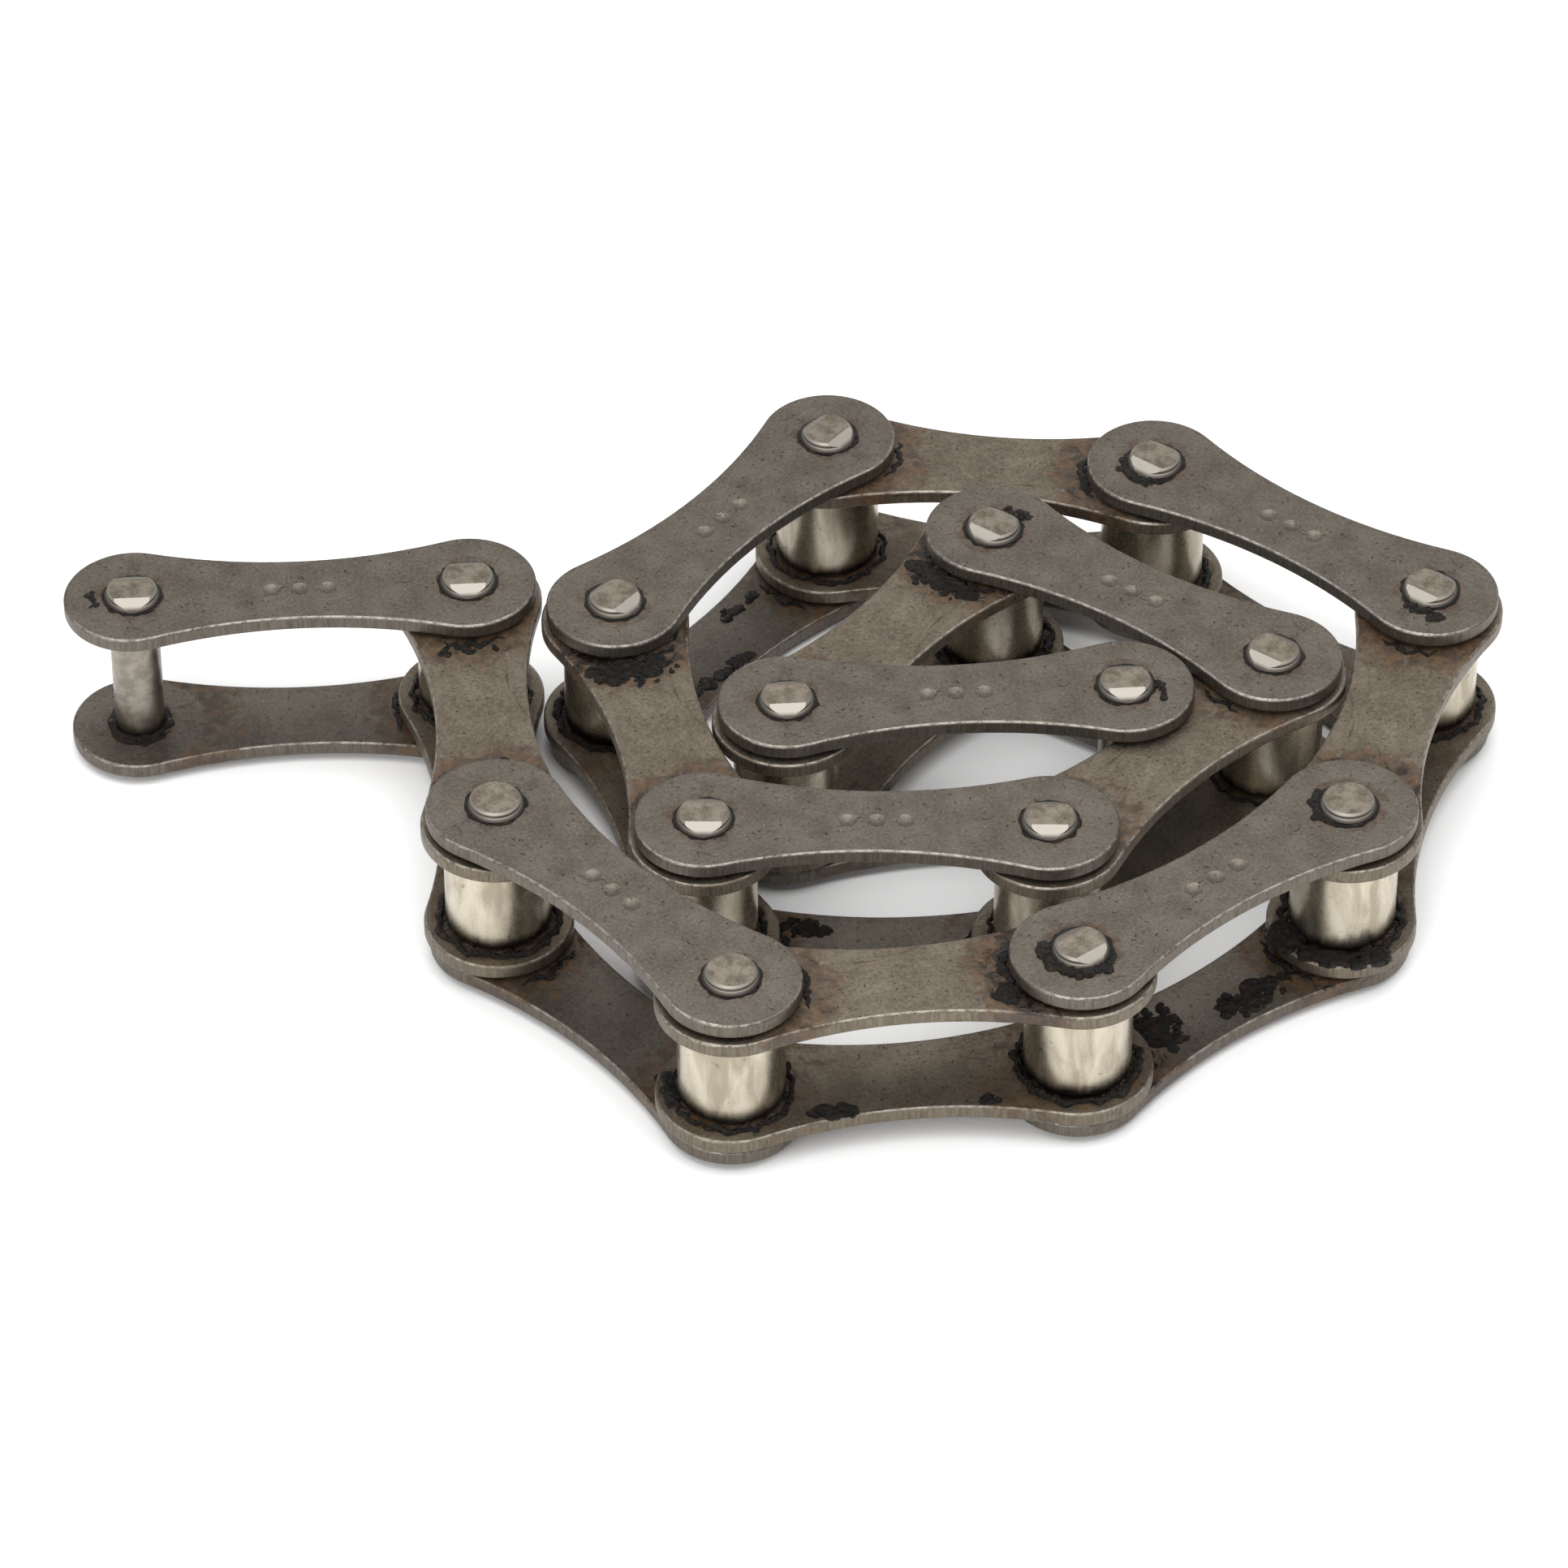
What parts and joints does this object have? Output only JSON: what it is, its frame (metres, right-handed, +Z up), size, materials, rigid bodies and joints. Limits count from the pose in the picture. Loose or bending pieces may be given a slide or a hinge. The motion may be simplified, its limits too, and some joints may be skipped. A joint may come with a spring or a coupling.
{
  "type": "roller chain",
  "caption": "Double-pitch roller chain of alternate outer and inner links with turning rollers, lying on its side in a loose coil.",
  "frame": {"origin": "the middle of the coil's box, on the surface that it lies on", "axes": "+X along the coil's longest side, +Y across it, +Z up, along the pins"},
  "size_m": [0.109, 0.0722, 0.0154],
  "materials": {
    "outer_plate_steel": "blasted grey steel, dry, with a worn bright edge",
    "inner_plate_steel": "blasted grey steel with brown oil stains",
    "pin_steel": "hardened steel, bright riveted heads",
    "bush_steel": "plain oiled steel",
    "roller_steel": "satin steel with a warm oil film"
  },
  "bodies": {
    "link_08": {"link_08_inner_plate_top": "inner_plate_steel", "link_08_inner_plate_bottom": "inner_plate_steel", "link_08_bushes": "bush_steel"},
    "link_01": {"link_01_outer_plate_top": "outer_plate_steel", "link_01_outer_plate_bottom": "outer_plate_steel", "link_01_pins": "pin_steel"},
    "link_02": {"link_02_inner_plate_top": "inner_plate_steel", "link_02_inner_plate_bottom": "inner_plate_steel", "link_02_bushes": "bush_steel"},
    "link_03": {"link_03_outer_plate_top": "outer_plate_steel", "link_03_outer_plate_bottom": "outer_plate_steel", "link_03_pins": "pin_steel"},
    "link_04": {"link_04_inner_plate_top": "inner_plate_steel", "link_04_inner_plate_bottom": "inner_plate_steel", "link_04_bushes": "bush_steel"},
    "link_05": {"link_05_outer_plate_top": "outer_plate_steel", "link_05_outer_plate_bottom": "outer_plate_steel", "link_05_pins": "pin_steel"},
    "link_06": {"link_06_inner_plate_top": "inner_plate_steel", "link_06_inner_plate_bottom": "inner_plate_steel", "link_06_bushes": "bush_steel"},
    "link_07": {"link_07_outer_plate_top": "outer_plate_steel", "link_07_outer_plate_bottom": "outer_plate_steel", "link_07_pins": "pin_steel"},
    "link_09": {"link_09_outer_plate_top": "outer_plate_steel", "link_09_outer_plate_bottom": "outer_plate_steel", "link_09_pins": "pin_steel"},
    "link_10": {"link_10_inner_plate_top": "inner_plate_steel", "link_10_inner_plate_bottom": "inner_plate_steel", "link_10_bushes": "bush_steel"},
    "link_11": {"link_11_outer_plate_top": "outer_plate_steel", "link_11_outer_plate_bottom": "outer_plate_steel", "link_11_pins": "pin_steel"},
    "link_12": {"link_12_inner_plate_top": "inner_plate_steel", "link_12_inner_plate_bottom": "inner_plate_steel", "link_12_bushes": "bush_steel"},
    "link_13": {"link_13_outer_plate_top": "outer_plate_steel", "link_13_outer_plate_bottom": "outer_plate_steel", "link_13_pins": "pin_steel"},
    "link_14": {"link_14_inner_plate_top": "inner_plate_steel", "link_14_inner_plate_bottom": "inner_plate_steel", "link_14_bushes": "bush_steel"},
    "link_15": {"link_15_outer_plate_top": "outer_plate_steel", "link_15_outer_plate_bottom": "outer_plate_steel", "link_15_pins": "pin_steel"},
    "roller_01": {"roller_01": "roller_steel"},
    "roller_02": {"roller_02": "roller_steel"},
    "roller_03": {"roller_03": "roller_steel"},
    "roller_04": {"roller_04": "roller_steel"},
    "roller_05": {"roller_05": "roller_steel"},
    "roller_06": {"roller_06": "roller_steel"},
    "roller_07": {"roller_07": "roller_steel"},
    "roller_08": {"roller_08": "roller_steel"},
    "roller_09": {"roller_09": "roller_steel"},
    "roller_10": {"roller_10": "roller_steel"},
    "roller_11": {"roller_11": "roller_steel"},
    "roller_12": {"roller_12": "roller_steel"},
    "roller_13": {"roller_13": "roller_steel"},
    "roller_14": {"roller_14": "roller_steel"}
  },
  "joints": [
    {"name": "pivot_01", "type": "hinge", "parent": "link_02", "child": "link_01", "pos_m": [-0.02398, 0.01325, 0.0077], "axis": [0, 0, -1], "range_deg": [-65, 130]},
    {"name": "pivot_02", "type": "hinge", "parent": "link_03", "child": "link_02", "pos_m": [-0.02122, -0.012, 0.0077], "axis": [0, 0, 1], "range_deg": [0, 37.01]},
    {"name": "pivot_03", "type": "hinge", "parent": "link_04", "child": "link_03", "pos_m": [-0.00382, -0.0305, 0.0077], "axis": [0, 0, 1], "range_deg": [0, 53.26]},
    {"name": "pivot_04", "type": "hinge", "parent": "link_05", "child": "link_04", "pos_m": [0.02142, -0.02763, 0.0077], "axis": [0, 0, 1], "range_deg": [0, 31.26]},
    {"name": "pivot_05", "type": "hinge", "parent": "link_06", "child": "link_05", "pos_m": [0.0415, -0.01208, 0.0077], "axis": [0, 0, 1], "range_deg": [0, 35.26]},
    {"name": "pivot_06", "type": "hinge", "parent": "link_07", "child": "link_06", "pos_m": [0.04893, 0.01221, 0.0077], "axis": [0, 0, 1], "range_deg": [0, 74.26]},
    {"name": "pivot_07", "type": "hinge", "parent": "link_08", "child": "link_07", "pos_m": [0.02858, 0.02741, 0.0077], "axis": [0, 0, 1], "range_deg": [0, 36.76]},
    {"name": "pivot_08", "type": "hinge", "parent": "link_08", "child": "link_09", "pos_m": [0.00337, 0.0305, 0.0077], "axis": [0, 0, -1], "range_deg": [0, 63.5]},
    {"name": "pivot_09", "type": "hinge", "parent": "link_09", "child": "link_10", "pos_m": [-0.01279, 0.01091, 0.0077], "axis": [0, 0, -1], "range_deg": [0, 54.26]},
    {"name": "pivot_10", "type": "hinge", "parent": "link_10", "child": "link_11", "pos_m": [-0.00589, -0.01354, 0.0077], "axis": [0, 0, -1], "range_deg": [0, 65.51]},
    {"name": "pivot_11", "type": "hinge", "parent": "link_11", "child": "link_12", "pos_m": [0.0195, -0.01387, 0.0077], "axis": [0, 0, -1], "range_deg": [0, 41.01]},
    {"name": "pivot_12", "type": "hinge", "parent": "link_12", "child": "link_13", "pos_m": [0.03675, 0.00478, 0.0077], "axis": [0, 0, -1], "range_deg": [0, 103.51]},
    {"name": "pivot_13", "type": "hinge", "parent": "link_13", "child": "link_14", "pos_m": [0.016, 0.01944, 0.0077], "axis": [0, 0, -1], "range_deg": [0, 91.76]},
    {"name": "pivot_14", "type": "hinge", "parent": "link_14", "child": "link_15", "pos_m": [0.00019, -0.00044, 0.0077], "axis": [0, 0, -1], "range_deg": [0, 124.51]},
    {"name": "roller_spin_01", "type": "hinge", "parent": "link_02", "child": "roller_01", "pos_m": [-0.02398, 0.01325, 0.0077], "axis": [0, 0, 1], "continuous": true},
    {"name": "roller_spin_02", "type": "hinge", "parent": "link_02", "child": "roller_02", "pos_m": [-0.02122, -0.012, 0.0077], "axis": [0, 0, 1], "continuous": true},
    {"name": "roller_spin_03", "type": "hinge", "parent": "link_04", "child": "roller_03", "pos_m": [-0.00382, -0.0305, 0.0077], "axis": [0, 0, 1], "continuous": true},
    {"name": "roller_spin_04", "type": "hinge", "parent": "link_04", "child": "roller_04", "pos_m": [0.02142, -0.02763, 0.0077], "axis": [0, 0, 1], "continuous": true},
    {"name": "roller_spin_05", "type": "hinge", "parent": "link_06", "child": "roller_05", "pos_m": [0.0415, -0.01208, 0.0077], "axis": [0, 0, 1], "continuous": true},
    {"name": "roller_spin_06", "type": "hinge", "parent": "link_06", "child": "roller_06", "pos_m": [0.04893, 0.01221, 0.0077], "axis": [0, 0, 1], "continuous": true},
    {"name": "roller_spin_07", "type": "hinge", "parent": "link_08", "child": "roller_07", "pos_m": [0.02858, 0.02741, 0.0077], "axis": [0, 0, 1], "continuous": true},
    {"name": "roller_spin_08", "type": "hinge", "parent": "link_08", "child": "roller_08", "pos_m": [0.00337, 0.0305, 0.0077], "axis": [0, 0, 1], "continuous": true},
    {"name": "roller_spin_09", "type": "hinge", "parent": "link_10", "child": "roller_09", "pos_m": [-0.01279, 0.01091, 0.0077], "axis": [0, 0, 1], "continuous": true},
    {"name": "roller_spin_10", "type": "hinge", "parent": "link_10", "child": "roller_10", "pos_m": [-0.00589, -0.01354, 0.0077], "axis": [0, 0, 1], "continuous": true},
    {"name": "roller_spin_11", "type": "hinge", "parent": "link_12", "child": "roller_11", "pos_m": [0.0195, -0.01387, 0.0077], "axis": [0, 0, 1], "continuous": true},
    {"name": "roller_spin_12", "type": "hinge", "parent": "link_12", "child": "roller_12", "pos_m": [0.03675, 0.00478, 0.0077], "axis": [0, 0, 1], "continuous": true},
    {"name": "roller_spin_13", "type": "hinge", "parent": "link_14", "child": "roller_13", "pos_m": [0.016, 0.01944, 0.0077], "axis": [0, 0, 1], "continuous": true},
    {"name": "roller_spin_14", "type": "hinge", "parent": "link_14", "child": "roller_14", "pos_m": [0.00019, -0.00044, 0.0077], "axis": [0, 0, 1], "continuous": true}
  ],
  "couplings": [
    {"joint": "pivot_02", "follows": "pivot_08", "ratio": 0.5827},
    {"joint": "pivot_03", "follows": "pivot_08", "ratio": 0.8386},
    {"joint": "pivot_04", "follows": "pivot_08", "ratio": 0.4921},
    {"joint": "pivot_05", "follows": "pivot_08", "ratio": 0.5551},
    {"joint": "pivot_06", "follows": "pivot_08", "ratio": 1.1693},
    {"joint": "pivot_07", "follows": "pivot_08", "ratio": 0.5787},
    {"joint": "pivot_09", "follows": "pivot_08", "ratio": 0.8543},
    {"joint": "pivot_10", "follows": "pivot_08", "ratio": 1.0315},
    {"joint": "pivot_11", "follows": "pivot_08", "ratio": 0.6457},
    {"joint": "pivot_12", "follows": "pivot_08", "ratio": 1.6299},
    {"joint": "pivot_13", "follows": "pivot_08", "ratio": 1.4449},
    {"joint": "pivot_14", "follows": "pivot_08", "ratio": 1.9606}
  ]
}
